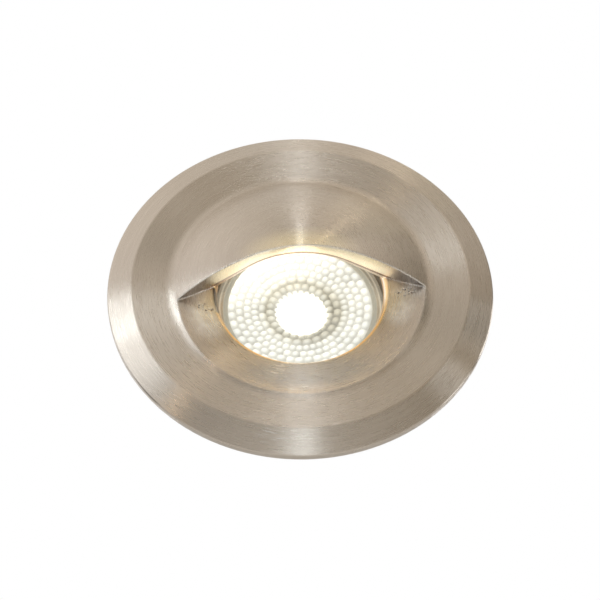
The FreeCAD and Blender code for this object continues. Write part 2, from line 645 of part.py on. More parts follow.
def make_holder():
    """Ceramic lampholder with its contacts and screws, on the bracket that spans the can's posts."""
    half_pitch = "(pin_spacing / 2)"
    terminal_depth = f"({contact_front} + terminal_setback)"
    outline = box_outline("-holder_width / 2", "-holder_height / 2", "holder_width / 2", "holder_height / 2")
    solid = plate("holder_block", outline, holder_front, "holder_depth")
    bores = []
    sleeves = []
    terminals = []
    holder_screws = []
    bracket_screws = []
    for side, sign in side_sign.items():
        at_pin = f"{sign} * {half_pitch}"
        at_screw = f"{sign} * holder_screw_spread"
        bores.append(rod(f"{side}_pin_hole", "lamp_pin_radius + pin_hole_clearance",
                         "holder_face + 2 * cut_overrun", at_pin, f"{holder_front} - cut_overrun"))
        bores.append(rod(f"{side}_contact_bore", "contact_radius + contact_play", "holder_depth",
                         at_pin, contact_front))
        bores.append(rod(f"{side}_terminal_hole", "terminal_radius + contact_play", "holder_height",
                         at_pin, terminal_depth, "0", upright=True))
        bores.append(rod(f"{side}_screw_sink", "screw_head_radius + screw_head_room",
                         "holder_sink + cut_overrun", at_screw, f"{holder_front} - cut_overrun"))
        bores.append(rod(f"{side}_screw_hole", screw_hole, "2 * holder_depth", at_screw, holder_front))
        sleeve = ring(f"{side}_contact", "lamp_pin_radius + contact_clearance", "contact_radius",
                      "0", "contact_length")
        sleeves.append(place(sleeve, at_pin, contact_front))
        terminal = screw(f"{side}_terminal_screw", "terminal_head_radius", "terminal_head_height",
                         "terminal_radius", "holder_height / 2 - contact_radius")
        terminals.append(place(terminal, at_pin, terminal_depth, "holder_height / 2", Vector(1, 0, 0), "-90"))
        holder_screw = screw(f"{side}_holder_screw", "screw_head_radius", "screw_head_height",
                             "screw_radius", "holder_depth - holder_sink + screw_bite")
        holder_screws.append(place(holder_screw, at_screw, f"{holder_front} + holder_sink"))
        bracket_screw = screw(f"{side}_bracket_screw", "screw_head_radius", "screw_head_height",
                              "screw_radius", "screw_bite")
        bracket_screws.append(place(bracket_screw, f"{sign} * post_spread", holder_back))
    reach = "(post_spread + bracket_reach)"
    holes = [(f"{sign} * {spread}", "0", screw_hole)
             for spread in ("holder_screw_spread", "post_spread") for sign in side_sign.values()]
    window = box_outline("-bracket_window_width / 2", "-bracket_window_height / 2",
                         "bracket_window_width / 2", "bracket_window_height / 2")
    strip = box_outline(f"-{reach}", "-bracket_height / 2", reach, "bracket_height / 2")
    bracket = plate("socket_bracket", strip, holder_back, "bracket_thickness", holes, [window])
    return [
        cut("lampholder", solid, fuse("holder_bores", bores)),
        group("lampholder_contacts", sleeves),
        group("terminal_screws", terminals),
        group("lampholder_screws", holder_screws),
        bracket,
        group("bracket_screws", bracket_screws),
    ]


def make_gland():
    """Cable gland in the can's end wall: threaded body, washer, locknut, seal and nut."""
    thread_front = f"({end_inner} - locknut_thickness - gland_thread_spare)"
    turned = ring("gland_thread", "gland_bore", "gland_thread_radius", thread_front, gland_neck_end)
    collar = hexagon("gland_collar", "gland_hex_radius", "gland_hex_length", gland_hex_front)
    bore = rod("gland_through", "gland_bore", "gland_hex_length + 2 * cut_overrun",
               "0", f"{gland_hex_front} - cut_overrun")
    socket = rod("gland_socket", "gland_seal_radius + gland_seal_play", "gland_neck_length",
                 "0", gland_seal_front)
    body = cut("gland_body", fuse("gland_solid", [turned, collar]), fuse("gland_bores", [bore, socket]))
    washer = ring("gland_washer", gland_hole, "gland_washer_radius", end_outer, gland_hex_front)
    nut_front = f"({end_inner} - locknut_thickness)"
    nut_hex = hexagon("locknut_hex", "locknut_radius", "locknut_thickness", nut_front)
    nut_hole = rod("locknut_hole", gland_hole, "locknut_thickness + 2 * cut_overrun",
                   "0", f"{nut_front} - cut_overrun")
    seal = ring("gland_seal", "gland_seal_bore", "gland_seal_radius", gland_seal_front, gland_nut_shoulder)
    cap_front = f"({gland_hex_back} + gland_nut_gap)"
    cap_radius = "(gland_hex_radius - gland_nut_corner)"
    cap_hex = hexagon("nut_hex", "gland_hex_radius", f"{gland_nut_end} - {cap_front}", cap_front)
    envelope = spun("nut_envelope", [
        (gland_hole, cap_front),
        (cap_radius, cap_front),
        (cap_radius, f"{gland_nut_end} - gland_nut_round", ("gland_nut_round", 1)),
        (f"{cap_radius} - gland_nut_round", gland_nut_end),
        ("gland_nut_hole", gland_nut_end),
        ("gland_nut_hole", gland_nut_shoulder),
        (gland_hole, gland_nut_shoulder),
    ])
    nut = common("gland_nut", cap_hex, envelope)
    return [body, washer, cut("gland_locknut", nut_hex, nut_hole), seal, nut]


def make_arm(side):
    """Spring arm with its knuckles and window, its pad, and its pivot pin."""
    ear = "(arm_window_width / 2)"
    blade = plate(f"{side}_blade", [
        ("0", "-arm_width / 2"),
        ("arm_length", "-arm_tip_width / 2"),
        ("arm_length", "arm_tip_width / 2"),
        ("0", "arm_width / 2"),
        ("0", ear),
        ("arm_window_length", ear),
        ("arm_window_length", f"-{ear}"),
        ("0", f"-{ear}"),
    ], "-arm_thickness / 2", "arm_thickness")
    knuckle_length = f"(arm_width / 2 - {ear})"
    knuckles = [rod(f"{side}_{level}_knuckle", "arm_knuckle", knuckle_length, z=start, upright=True)
                for level, start in (("upper", ear), ("lower", "-arm_width / 2"))]
    hole = rod(f"{side}_arm_hole", pivot_hole, "2 * arm_width", z="-arm_width", upright=True)
    drawn = cut(f"{side}_arm_drawn", fuse(f"{side}_arm_solid", [blade, *knuckles]), hole)
    pad_width = "(arm_tip_width + 2 * pad_wall + (arm_width - arm_tip_width) * pad_length / arm_length)"
    sleeve = block(f"{side}_pad_block", "arm_length - pad_length", "-arm_thickness / 2 - pad_wall",
                   f"-{pad_width} / 2", "pad_length + pad_wall", "arm_thickness + 2 * pad_wall", pad_width)
    pad_drawn = cut(f"{side}_pad_drawn", sleeve, drawn)
    pin = spun(f"{side}_pin_turned", [
        ("0", f"-{lug_outer} - pivot_tail"),
        ("pivot_pin_radius", f"-{lug_outer} - pivot_tail"),
        ("pivot_pin_radius", lug_outer),
        ("pivot_head_radius", lug_outer),
        ("pivot_head_radius", f"{lug_outer} + pivot_head_height"),
        ("0", f"{lug_outer} + pivot_head_height"),
    ])
    upright = group(f"{side}_pivot_pin", [pin])
    place(upright, f"{side_sign[side]} * {pivot_across}", pivot_depth, "0", Vector(1, 0, 0), "90")
    arm = arm_frame(f"{side}_spring_arm", side, [drawn])
    pad = arm_frame(f"{side}_arm_pad", side, [pad_drawn])
    return [arm, pad, upright]


def biarc(start, start_way, finish, finish_way):
    """Two arcs that join two points along a direction at each, as pairs of middle and end points."""
    across = finish - start
    ways = start_way + finish_way
    square = 2 - 2 * start_way.dot(finish_way)
    linear = across.dot(ways)
    reach = (math.sqrt(linear ** 2 + square * across.dot(across)) - linear) / square
    corners = [start + start_way * reach, finish - finish_way * reach]
    join = (corners[0] + corners[1]) * 0.5
    arcs = []
    for first, corner, last in ((start, corners[0], join), (join, corners[1], finish)):
        middle = (first + last) * 0.5
        half = (last - first).Length / 2
        lean = math.acos(half / reach)
        arcs.append((middle + (corner - middle).normalize() * (half * math.tan(lean / 2)), last))
    return arcs


def least_self_gap(points, width):
    """Smallest clear distance between stretches of a path that are over half a turn apart."""
    skip = int(math.pi * number("coil_radius") / (points[1] - points[0]).Length)
    return min((points[b] - points[a]).Length for a in range(len(points))
               for b in range(a + skip, len(points))) - width


def make_spring(side):
    """Torsion spring: one wire that leaves the barrel, winds about the pivot pin and follows the arm."""
    sign = side_sign[side]
    radius = number("coil_radius")
    wire = number("wire_radius")
    rise = number("coil_height")
    lean = math.asin(number("coil_radius - arm_thickness / 2 - wire_radius - leg_gap") / number("moving_leg"))
    first = math.radians(number("fixed_leg_angle"))
    last = math.radians(90 - number(rest_angle)) - lean - 2 * math.pi * number("coil_turns")
    pivot = Vector(number(pivot_across), number(pivot_depth), 0)

    def on_coil(share):
        angle = first + (last - first) * share
        return pivot + Vector(radius * math.cos(angle), radius * math.sin(angle), rise * (share - 0.5))

    def along(share):
        angle = first + (last - first) * share
        turn = radius * (last - first)
        return Vector(-turn * math.sin(angle), turn * math.cos(angle), rise).normalize()

    def mirrored(point):
        return Vector(sign * point.x, point.y, point.z)

    taper = number(f"(waist_radius - {barrel_radius}) / ({waist_depth} - {shoulder_end})")
    leg = 0.0
    for step in range(20):
        foot = on_coil(0) - along(0) * leg
        barrel = number(barrel_radius) + taper * (foot.y - number(shoulder_end))
        seat = math.sqrt(barrel ** 2 - foot.z ** 2) + wire + number("leg_gap")
        leg += (foot.x - seat) / along(0).x
    start = mirrored(on_coil(0) - along(0) * leg)
    edges = [Part.LineSegment(start, mirrored(on_coil(0))).toShape()]
    spans = math.ceil((first - last) / (math.pi / 2))
    for span in range(spans):
        here, there = span / spans, (span + 1) / spans
        begin = on_coil(here)
        for middle, end in biarc(begin, along(here), on_coil(there), along(there)):
            edges.append(Part.Arc(mirrored(begin), mirrored(middle), mirrored(end)).toShape())
            begin = end
    finish = mirrored(on_coil(1) + along(1) * number("moving_leg"))
    edges.append(Part.LineSegment(mirrored(on_coil(1)), finish).toShape())
    path = Part.Wire(edges)
    section = Part.Wire([Part.Circle(start, mirrored(on_coil(0)) - start, wire).toShape()])
    solid = path.makePipeShell([section], True, False)
    gap = least_self_gap(path.discretize(Number=900), 2 * wire)
    filled = solid.Volume / (math.pi * wire ** 2 * path.Length)
    print(f"{side}_torsion_spring: least self gap {gap:.3f} mm, volume over its swept one {filled:.4f}")
    item = doc.addObject("Part::Feature", f"{side}_torsion_spring")
    item.Shape = solid
    item.Placement = FreeCAD.Placement()
    return item


nodes = [make_face(), *make_lens_stack(), *make_seals(), make_can()]
nodes += [*make_lamp(), *make_holder(), *make_gland()]
for arm_side in side_sign:
    nodes += [*make_arm(arm_side), make_spring(arm_side)]

doc.recompute()
for item in doc.Objects:
    if "Invalid" in item.State or "Error" in item.State:
        raise RuntimeError(f"{item.Label} failed: {item.State}")
for node in nodes:
    if node.Shape.isNull() or not node.Shape.isValid():
        raise RuntimeError(f"{node.Label} has no valid shape")
    if not node.Shape.Solids:
        raise RuntimeError(f"{node.Label} has no solid")
for node in nodes:
    node.Shape.exportStep(f"parts/{node.Label}.step")
    print(f"{node.Label}: {len(node.Shape.Solids)} solid(s), {node.Shape.Volume:.1f} mm3")
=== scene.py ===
import bpy
import math
import numpy as np
from mathutils import Matrix, Vector


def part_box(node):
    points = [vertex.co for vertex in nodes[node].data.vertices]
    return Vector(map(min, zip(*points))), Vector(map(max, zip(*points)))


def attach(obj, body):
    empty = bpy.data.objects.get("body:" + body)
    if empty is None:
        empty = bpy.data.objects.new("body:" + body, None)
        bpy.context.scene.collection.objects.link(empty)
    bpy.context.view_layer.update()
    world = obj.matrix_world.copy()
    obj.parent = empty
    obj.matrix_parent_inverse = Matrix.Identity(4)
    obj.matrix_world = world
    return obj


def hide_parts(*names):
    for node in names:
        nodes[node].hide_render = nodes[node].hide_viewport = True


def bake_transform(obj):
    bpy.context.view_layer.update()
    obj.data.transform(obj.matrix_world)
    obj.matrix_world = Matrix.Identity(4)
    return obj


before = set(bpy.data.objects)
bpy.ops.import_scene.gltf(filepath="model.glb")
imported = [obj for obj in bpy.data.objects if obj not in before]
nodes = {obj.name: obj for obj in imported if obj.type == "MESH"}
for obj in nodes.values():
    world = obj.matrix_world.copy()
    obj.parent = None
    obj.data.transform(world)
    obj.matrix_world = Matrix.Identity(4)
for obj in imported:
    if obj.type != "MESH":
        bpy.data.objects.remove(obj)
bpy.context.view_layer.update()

scene = bpy.context.scene
scene.view_settings.view_transform = "Standard"
mm = 0.001  # sizes below are written in millimetres
print("frame loaded:", len(nodes), "nodes")


# Node helpers: a socket given as a value is linked, anything else is set
def feed(tree, node, values):
    for name, value in values.items():
        if isinstance(value, bpy.types.NodeSocket):
            tree.links.new(value, node.inputs[name])
        else:
            node.inputs[name].default_value = value


def addNode(tree, kind, values, **fields):
    node = tree.nodes.new(kind)
    for name, value in fields.items():
        setattr(node, name, value)
    feed(tree, node, values)
    return node


def math1(tree, operation, first, second=0.0, third=0.0):
    return addNode(tree, "ShaderNodeMath", {0: first, 1: second, 2: third}, operation=operation).outputs[0]


def times(tree, first, *others):
    for other in others:
        first = math1(tree, "MULTIPLY", first, other)
    return first


def restOf(tree, value):
    return math1(tree, "SUBTRACT", 1.0, value)


def vector1(tree, operation, first, second=(0.0, 0.0, 0.0)):
    node = addNode(tree, "ShaderNodeVectorMath", {0: first, 1: second}, operation=operation)
    return node.outputs["Value" if operation in ("LENGTH", "DOT_PRODUCT") else "Vector"]


def partsOf(tree, vector):
    return addNode(tree, "ShaderNodeSeparateXYZ", {"Vector": vector}).outputs


def ramp(tree, value, low, high, fromLow=0.0, fromHigh=1.0, smooth=True):
    values = {"Value": value, "From Min": fromLow, "From Max": fromHigh, "To Min": low, "To Max": high}
    kind = "SMOOTHSTEP" if smooth else "LINEAR"
    return addNode(tree, "ShaderNodeMapRange", values, interpolation_type=kind).outputs["Result"]


def opaque(colour):
    return colour if isinstance(colour, bpy.types.NodeSocket) else (*colour, 1.0)


def mixColour(tree, factor, first, second):
    values = {0: factor, 6: opaque(first), 7: opaque(second)}
    return addNode(tree, "ShaderNodeMix", values, data_type="RGBA").outputs[2]


# Two spans of noise values for the ramps below, the narrow one for stronger contrast
noiseWide = (0.3, 0.7)
noiseNarrow = (0.35, 0.65)


def noise(tree, place, scale, detail=2.0, grit=0.5):
    values = {"Vector": place, "Scale": scale, "Detail": detail, "Roughness": grit}
    return addNode(tree, "ShaderNodeTexNoise", values).outputs["Fac"]


# Distance from the part's axis, and the way outwards from it
def aboutAxis(tree, place):
    flat = vector1(tree, "MULTIPLY", place, (1.0, 0.0, 1.0))
    return vector1(tree, "LENGTH", flat), vector1(tree, "NORMALIZE", flat)


# One near any of the patch's places, falling to nothing at its reach
def nearPlaces(tree, place, patch):
    near = 0.0
    for middle, reach in zip(patch["places"], patch["reaches"]):
        away = vector1(tree, "DIVIDE", vector1(tree, "SUBTRACT", place, middle), reach)
        here = ramp(tree, vector1(tree, "LENGTH", away), 1.0, 0.0, patch["inner"], 1.0)
        near = math1(tree, "MAXIMUM", here, near)
    return near


# One for rays from the camera, from mirrors and through glass, nothing for light that is scattered
def shownRays(tree):
    path = tree.nodes.new("ShaderNodeLightPath").outputs
    shown = math1(tree, "MAXIMUM", path["Is Camera Ray"], path["Is Glossy Ray"])
    return math1(tree, "MAXIMUM", shown, path["Is Transmission Ray"])


def startMaterial(name):
    material = bpy.data.materials.new(name)
    material.use_nodes = True
    tree = material.node_tree
    shader = tree.nodes["Principled BSDF"]
    place = tree.nodes.new("ShaderNodeTexCoord").outputs["Object"]
    return material, tree, shader, place


def dress(material, *names):
    for name in names:
        slots = nodes[name].data.materials
        slots.clear()
        slots.append(material)


# Camera: worked out from the rim's ellipse, about 35 degrees below the axis and turned with the eye
cameraView = dict(distance=456 * mm, below=34.8, eyeTurn=4.6, roll=0.65, focal=1536.0, side=600.0,
                  middle=(300.3, 289.9), sensor=36.0, clip=(0.01, 50.0))


def makeCamera(view):
    tilt, turn, roll = (math.radians(view[name]) for name in ("below", "eyeTurn", "roll"))
    away = Vector((math.sin(turn) * math.sin(tilt), math.cos(tilt), math.cos(turn) * math.sin(tilt)))
    right = Vector((math.cos(turn), 0.0, -math.sin(turn)))
    up = right.cross(away)
    right, up = right * math.cos(roll) + up * math.sin(roll), up * math.cos(roll) - right * math.sin(roll)
    half = view["side"] / 2
    aim = (away * view["focal"] - right * (view["middle"][0] - half)
           + up * (view["middle"][1] - half)).normalized()
    right = aim.cross(up).normalized()
    up = right.cross(aim)
    data = bpy.data.cameras.new("photoCamera")
    data.sensor_width = view["sensor"]
    data.lens = view["sensor"] * view["focal"] / view["side"]
    data.clip_start, data.clip_end = view["clip"]
    camera = bpy.data.objects.new("photoCamera", data)
    camera.matrix_world = Matrix.Translation(-away * view["distance"]) @ Matrix(
        (right, up, -aim)).transposed().to_4x4()
    scene.collection.objects.link(camera)
    scene.camera = camera


makeCamera(cameraView)
print("camera set")


# Opening: its upper and right side takes more of the lamp's light, and one place at the left lies in shade
opening = dict(brightWay=(0.28, 0.0, 0.96),
               shade=dict(places=((-25.5 * mm, 0.3 * mm, -2.0 * mm),), inner=0.8,
                          reaches=((3.0 * mm, 3.0 * mm, 5.2 * mm),)))


def openingLight(tree, place, direction, span):
    side = vector1(tree, "DOT_PRODUCT", direction, opening["brightWay"])
    return ramp(tree, side, 0.0, 1.0, *span), nearPlaces(tree, place, opening["shade"])


# Turned stainless: rings of fine lathe lines, so the gloss is drawn out across them
stainless = dict(
    tones=((0.57, 0.50, 0.43), (0.63, 0.56, 0.485)), rough=(0.26, 0.32), drawn=1.0, lineDepth=0.03 * mm,
    fine=dict(pitch=0.22 * mm, arcs=7.0, detail=3.0, grit=0.6), fineShare=0.6,
    coarse=dict(pitch=1.3 * mm, arcs=3.5, detail=2.0, grit=0.6), coarseShare=0.4,
    # painted lamp glow: a warm, paler wash on the lid above the lip
    lipGlowWash=dict(places=((0.0, -16.0 * mm, 4.0 * mm),), inner=0.15,
               reaches=((21.0 * mm, 10.0 * mm, 9.0 * mm),)),
    lipGlowTone=(0.93, 0.81, 0.59),
    # the opening's edge: gold as a painted reflection of the lamp on the lit side, dark as painted shade at
    # the shaded place
    edgeDepth=(-0.45 * mm, -0.05 * mm), edgeReach=(26.1 * mm, 26.6 * mm), edgeLitGold=(1.0, 0.66, 0.26),
    edgeShadeDark=(0.07, 0.06, 0.055), edgeGlows=(0.10, 0.38), brightSpan=(-0.10, 0.15),
    hoodFacing=(-0.7, -0.4), hoodLimit=(42.0 * mm, 46.0 * mm),
    # hood underside: painted shade on corners and tips, painted lamp light near the lens, a painted shadow
    # line at the back
    cornerReach=(26.5 * mm, 33.0 * mm), cornerShadeTint=(0.43, 0.365, 0.305),
    lampLitReach=(21.0 * mm, 30.0 * mm), lampLitTint=(0.80, 0.65, 0.40),
    lipDepth=(-15.8 * mm, -11.0 * mm), lipTone=(0.36, 0.30, 0.23),
    tipReach=(32.0 * mm, 36.0 * mm), tipShadeTone=(0.15, 0.12, 0.10),
    backDepth=(-2.2 * mm, -1.2 * mm), backShadeTone=(0.26, 0.12, 0.04),
    hoodGlow=0.36, hoodGlowTint=(1.0, 0.89, 0.66), hoodGlowDepth=(-12.0 * mm, -4.5 * mm),
    hoodGlowReach=(25.0 * mm, 29.0 * mm), hoodGlowSide=(-24.0 * mm, -11.0 * mm), leftShare=0.1,
    # worn edges, paler both for wear and as a painted highlight
    wornRadius=0.8 * mm, wornSamples=4, wornBend=(0.82, 0.97), wornSheenTone=(0.86, 0.82, 0.77),
    wornHeight=(-14.0 * mm, -6.0 * mm), wornReach=(42.0 * mm, 46.0 * mm), wornLeast=0.3,
    dish=dict(places=((0.0, -2.0 * mm, -29.0 * mm),), inner=0.4,
              reaches=((25.0 * mm, 6.0 * mm, 10.0 * mm),)),
    dishTone=(0.47, 0.455, 0.445),
    # paler patches: wiped steel and painted reflected light near the eye's corners
    litRubs=dict(places=((-28.5 * mm, -1.5 * mm, -9.0 * mm), (28.5 * mm, -1.5 * mm, -9.0 * mm),
                      (32.0 * mm, -3.0 * mm, -4.4 * mm)), inner=0.2,
              reaches=((8.0 * mm, 5.0 * mm, 11.5 * mm), (7.0 * mm, 4.5 * mm, 9.5 * mm),
                       (6.0 * mm, 4.0 * mm, 4.2 * mm))),
    litRubTone=(0.95, 0.94, 0.93), litRubGrain=2.2 * mm, litRubDetail=3.0, litRubShare=(0.65, 1.0),
    scuffs=dict(places=((-9.0 * mm, -1.3 * mm, -28.2 * mm), (-1.0 * mm, -3.6 * mm, -35.6 * mm),
                        (-11.5 * mm, -3.9 * mm, -51.0 * mm)), inner=0.3,
                reaches=((4.2 * mm, 3.0 * mm, 4.2 * mm), (9.0 * mm, 2.5 * mm, 2.4 * mm),
                         (5.5 * mm, 2.0 * mm, 3.8 * mm))),
    scuffLines=dict(pitch=0.32 * mm, arcs=9.0, detail=2.0, grit=0.6),
    scuffShare=(0.54, 0.66), scuffTone=(0.82, 0.80, 0.77),
    pits=dict(places=((-28.4 * mm, -1.4 * mm, -5.7 * mm), (30.5 * mm, -2.2 * mm, -4.4 * mm)), inner=0.5,
              reaches=((3.4 * mm, 2.5 * mm, 2.1 * mm), (5.0 * mm, 3.0 * mm, 1.6 * mm))),
    pitPitch=0.8 * mm, pitSize=(0.22, 0.46), pitShare=(0.30, 0.34), pitDepth=0.25 * mm,
    pitTones=((0.17, 0.14, 0.12), (0.98, 0.97, 0.95)), paleShare=(0.55, 0.60))


# Noise that changes fast across the rings and slowly along them
def ringLines(tree, radius, direction, lines):
    steps = math1(tree, "DIVIDE", radius, lines["pitch"])
    across = addNode(tree, "ShaderNodeCombineXYZ", {"Y": steps}).outputs[0]
    along = vector1(tree, "MULTIPLY", direction, (lines["arcs"],) * 3)
    return noise(tree, vector1(tree, "ADD", across, along), 1.0, lines["detail"], lines["grit"])


# The hood's underside is what faces down inside the rim. Its coats, from the first to the last: painted
# shade on the corners, painted lamp light near the lens, the shaded lip, painted shade on the tips, and a
# painted shadow line along the back.
def hoodCoats(tree, place, radius, depth, look):
    facing = partsOf(tree, place.node.outputs["Normal"])["Z"]
    under = times(tree, ramp(tree, facing, 1.0, 0.0, *look["hoodFacing"]),
                  ramp(tree, radius, 1.0, 0.0, *look["hoodLimit"]))
    cornerShade = times(tree, under, ramp(tree, radius, 0.0, 1.0, *look["cornerReach"]))
    lampLitUnder = times(tree, under, ramp(tree, radius, 1.0, 0.0, *look["lampLitReach"]))
    lip = times(tree, under, ramp(tree, depth, 1.0, 0.0, *look["lipDepth"]))
    tipShade = times(tree, under, ramp(tree, radius, 0.0, 1.0, *look["tipReach"]))
    back = times(tree, under, ramp(tree, depth, 0.0, 1.0, *look["backDepth"]))
    return under, back, ((cornerShade, look["cornerShadeTint"]), (lampLitUnder, look["lampLitTint"]), (lip, look["lipTone"]),
                         (tipShade, look["tipShadeTone"]), (back, look["backShadeTone"]))


# Worn edges, painted paler both for wear and as a painted highlight, are where the normal, averaged over a
# small radius, bends away from the plain one. Inside the rim the averaged normal is also used for shading,
# so that the edges look rounded.
def wornAndSheenEdges(tree, radius, height, look):
    rounded = addNode(tree, "ShaderNodeBevel", {"Radius": look["wornRadius"]},
                      samples=look["wornSamples"]).outputs["Normal"]
    plain = addNode(tree, "ShaderNodeNewGeometry", {}).outputs["Normal"]
    bent = ramp(tree, vector1(tree, "DOT_PRODUCT", rounded, plain), 1.0, 0.0, *look["wornBend"])
    onRim = ramp(tree, radius, 0.0, 1.0, *look["wornReach"])
    handled = math1(tree, "MAXIMUM", ramp(tree, height, look["wornLeast"], 1.0, *look["wornHeight"]), onRim)
    normal = addNode(tree, "ShaderNodeMix", {0: onRim, 4: rounded, 5: plain}, data_type="VECTOR").outputs[1]
    return times(tree, bent, handled), normal


# Small casting pits near the eye's corners, some dark and some bright inside
def makePits(tree, place, look):
    cells = addNode(tree, "ShaderNodeTexVoronoi", {"Vector": place, "Scale": 1.0 / look["pitPitch"]},
                    feature="F1").outputs
    own = addNode(tree, "ShaderNodeSeparateColor", {"Color": cells["Color"]}).outputs
    pits = times(tree, ramp(tree, cells["Distance"], 1.0, 0.0, *look["pitSize"]),
                 ramp(tree, own["Red"], 0.0, 1.0, *look["pitShare"]), nearPlaces(tree, place, look["pits"]))
    pale = ramp(tree, own["Green"], 0.0, 1.0, *look["paleShare"])
    return pits, mixColour(tree, pale, *look["pitTones"])


# Short bright scuffs along the lathe lines
def makeScuffs(tree, place, radius, direction, look):
    lines = ringLines(tree, radius, direction, look["scuffLines"])
    marks = ramp(tree, lines, 0.0, 1.0, *look["scuffShare"])
    return times(tree, marks, nearPlaces(tree, place, look["scuffs"]))


# Paler patches on the dish: wiped steel, and painted reflected lamp light near the eye's corners
def makeLitRubs(tree, place, look):
    cloud = noise(tree, place, 1.0 / look["litRubGrain"], look["litRubDetail"])
    patches = ramp(tree, cloud, *look["litRubShare"], *noiseNarrow)
    return times(tree, patches, nearPlaces(tree, place, look["litRubs"]))


def makeStainless(look):
    material, tree, shader, place = startMaterial("turnedStainless")
    radius, direction = aboutAxis(tree, place)
    x, depth, height = partsOf(tree, place)
    fine = ringLines(tree, radius, direction, look["fine"])
    coarse = ringLines(tree, radius, direction, look["coarse"])
    lines = math1(tree, "MULTIPLY_ADD", fine, look["fineShare"], times(tree, coarse, look["coarseShare"]))
    bright, shaded = openingLight(tree, place, direction, look["brightSpan"])
    # painted reflection of the lamp and painted shade along the opening's edge
    edge = times(tree, ramp(tree, depth, 0.0, 1.0, *look["edgeDepth"]),
                 ramp(tree, radius, 1.0, 0.0, *look["edgeReach"]))
    under, back, painted = hoodCoats(tree, place, radius, depth, look)
    wornSheen, normal = wornAndSheenEdges(tree, radius, height, look)
    pits, pitColour = makePits(tree, place, look)
    # the first coat is the painted lamp glow on the lid above the lip
    coats = ((nearPlaces(tree, place, look["lipGlowWash"]), look["lipGlowTone"]),
             (edge, mixColour(tree, shaded, look["edgeLitGold"], look["edgeShadeDark"])), *painted,
             (wornSheen, look["wornSheenTone"]), (nearPlaces(tree, place, look["dish"]), look["dishTone"]),
             (times(tree, makeLitRubs(tree, place, look), restOf(tree, under)), look["litRubTone"]),
             (makeScuffs(tree, place, radius, direction, look), look["scuffTone"]), (pits, pitColour))
    colour = mixColour(tree, ramp(tree, lines, 0.0, 1.0, *noiseWide), *look["tones"])
    for share, tone in coats:
        colour = mixColour(tree, share, colour, tone)
    hoodLit = times(tree, under, ramp(tree, depth, 0.0, look["hoodGlow"], *look["hoodGlowDepth"]),
                    ramp(tree, radius, 1.0, 0.0, *look["hoodGlowReach"]),
                    ramp(tree, x, look["leftShare"], 1.0, *look["hoodGlowSide"]), restOf(tree, back))
    edgeLit = times(tree, edge, ramp(tree, bright, *look["edgeGlows"], smooth=False), restOf(tree, shaded))
    lined = addNode(tree, "ShaderNodeBump", {"Height": lines, "Distance": look["lineDepth"],
                                             "Normal": normal}).outputs[0]
    dented = addNode(tree, "ShaderNodeBump", {"Height": pits, "Distance": look["pitDepth"],
                                              "Normal": lined}, invert=True).outputs[0]
    outward = addNode(tree, "ShaderNodeVectorTransform", {"Vector": direction}, vector_type="VECTOR",
                      convert_from="OBJECT", convert_to="WORLD").outputs[0]
    feed(tree, shader, {"Base Color": colour, "Roughness": ramp(tree, fine, *look["rough"], *noiseWide),
                        "Metallic": 1.0, "Anisotropic": look["drawn"], "Tangent": outward, "Normal": dented,
                        "Emission Strength": math1(tree, "MAXIMUM", edgeLit, hoodLit),
                        "Emission Color": mixColour(tree, bright, look["edgeLitGold"], look["hoodGlowTint"])})
    return material


dress(makeStainless(stainless), "eyelid_face")
print("turned face dressed")


# Plain finishes: two tones, a roughness band and a grain, all from noise on the piece's own place
finishes = {
    "blackRubber": dict(tones=((0.012, 0.012, 0.012), (0.028, 0.027, 0.026)), rough=(0.55, 0.78), metal=0.0,
                        grain=0.5 * mm, depth=0.02 * mm,
                        wears=("wall_gasket", "lens_gasket", "spigot_o_ring", "gland_washer", "gland_seal")),
    "padRubber": dict(tones=((0.07, 0.07, 0.068), (0.11, 0.108, 0.104)), rough=(0.6, 0.8), metal=0.0,
                      grain=0.6 * mm, depth=0.03 * mm, wears=("left_arm_pad", "right_arm_pad")),
    "springSteel": dict(tones=((0.34, 0.34, 0.35), (0.50, 0.50, 0.51)), rough=(0.18, 0.34), metal=1.0,
                        grain=0.7 * mm, depth=0.004 * mm, stretch=(0.15, 0.15, 1.0),
                        wears=("left_spring_arm", "right_spring_arm", "lens_snap_ring")),
    "zincPlate": dict(tones=((0.42, 0.42, 0.40), (0.60, 0.59, 0.55)), rough=(0.22, 0.42), metal=1.0,
                      grain=1.6 * mm, depth=0.006 * mm,
                      wears=("left_pivot_pin", "right_pivot_pin", "terminal_screws", "lampholder_screws",
                             "socket_bracket", "bracket_screws")),
    "canPaint": dict(tones=((0.020, 0.020, 0.022), (0.042, 0.042, 0.045)), rough=(0.42, 0.62), metal=0.0,
                     grain=0.45 * mm, depth=0.05 * mm, bare=(0.64, 0.61, 0.57), bareFacing=(-0.30, -0.05),
                     wears=("housing_can",)),
    "whiteCeramic": dict(tones=((0.62, 0.59, 0.53), (0.74, 0.72, 0.66)), rough=(0.5, 0.75), metal=0.0,
                         grain=0.8 * mm, depth=0.03 * mm, wears=("lamp_base", "lampholder")),
    "brightBrass": dict(tones=((0.52, 0.36, 0.13), (0.70, 0.52, 0.22)), rough=(0.2, 0.4), metal=1.0,
                        grain=0.7 * mm, depth=0.006 * mm, wears=("lamp_pins", "lampholder_contacts")),
    "glandPlastic": dict(tones=((0.016, 0.016, 0.018), (0.030, 0.030, 0.033)), rough=(0.36, 0.55), metal=0.0,
                         grain=0.35 * mm, depth=0.02 * mm,
                         wears=("gland_body", "gland_locknut", "gland_nut")),
}
finishNoise = dict(detail=3.0, grit=0.6, cloudScale=0.08, cloudDetail=4.0, grainShare=0.5, cloudShare=0.5)


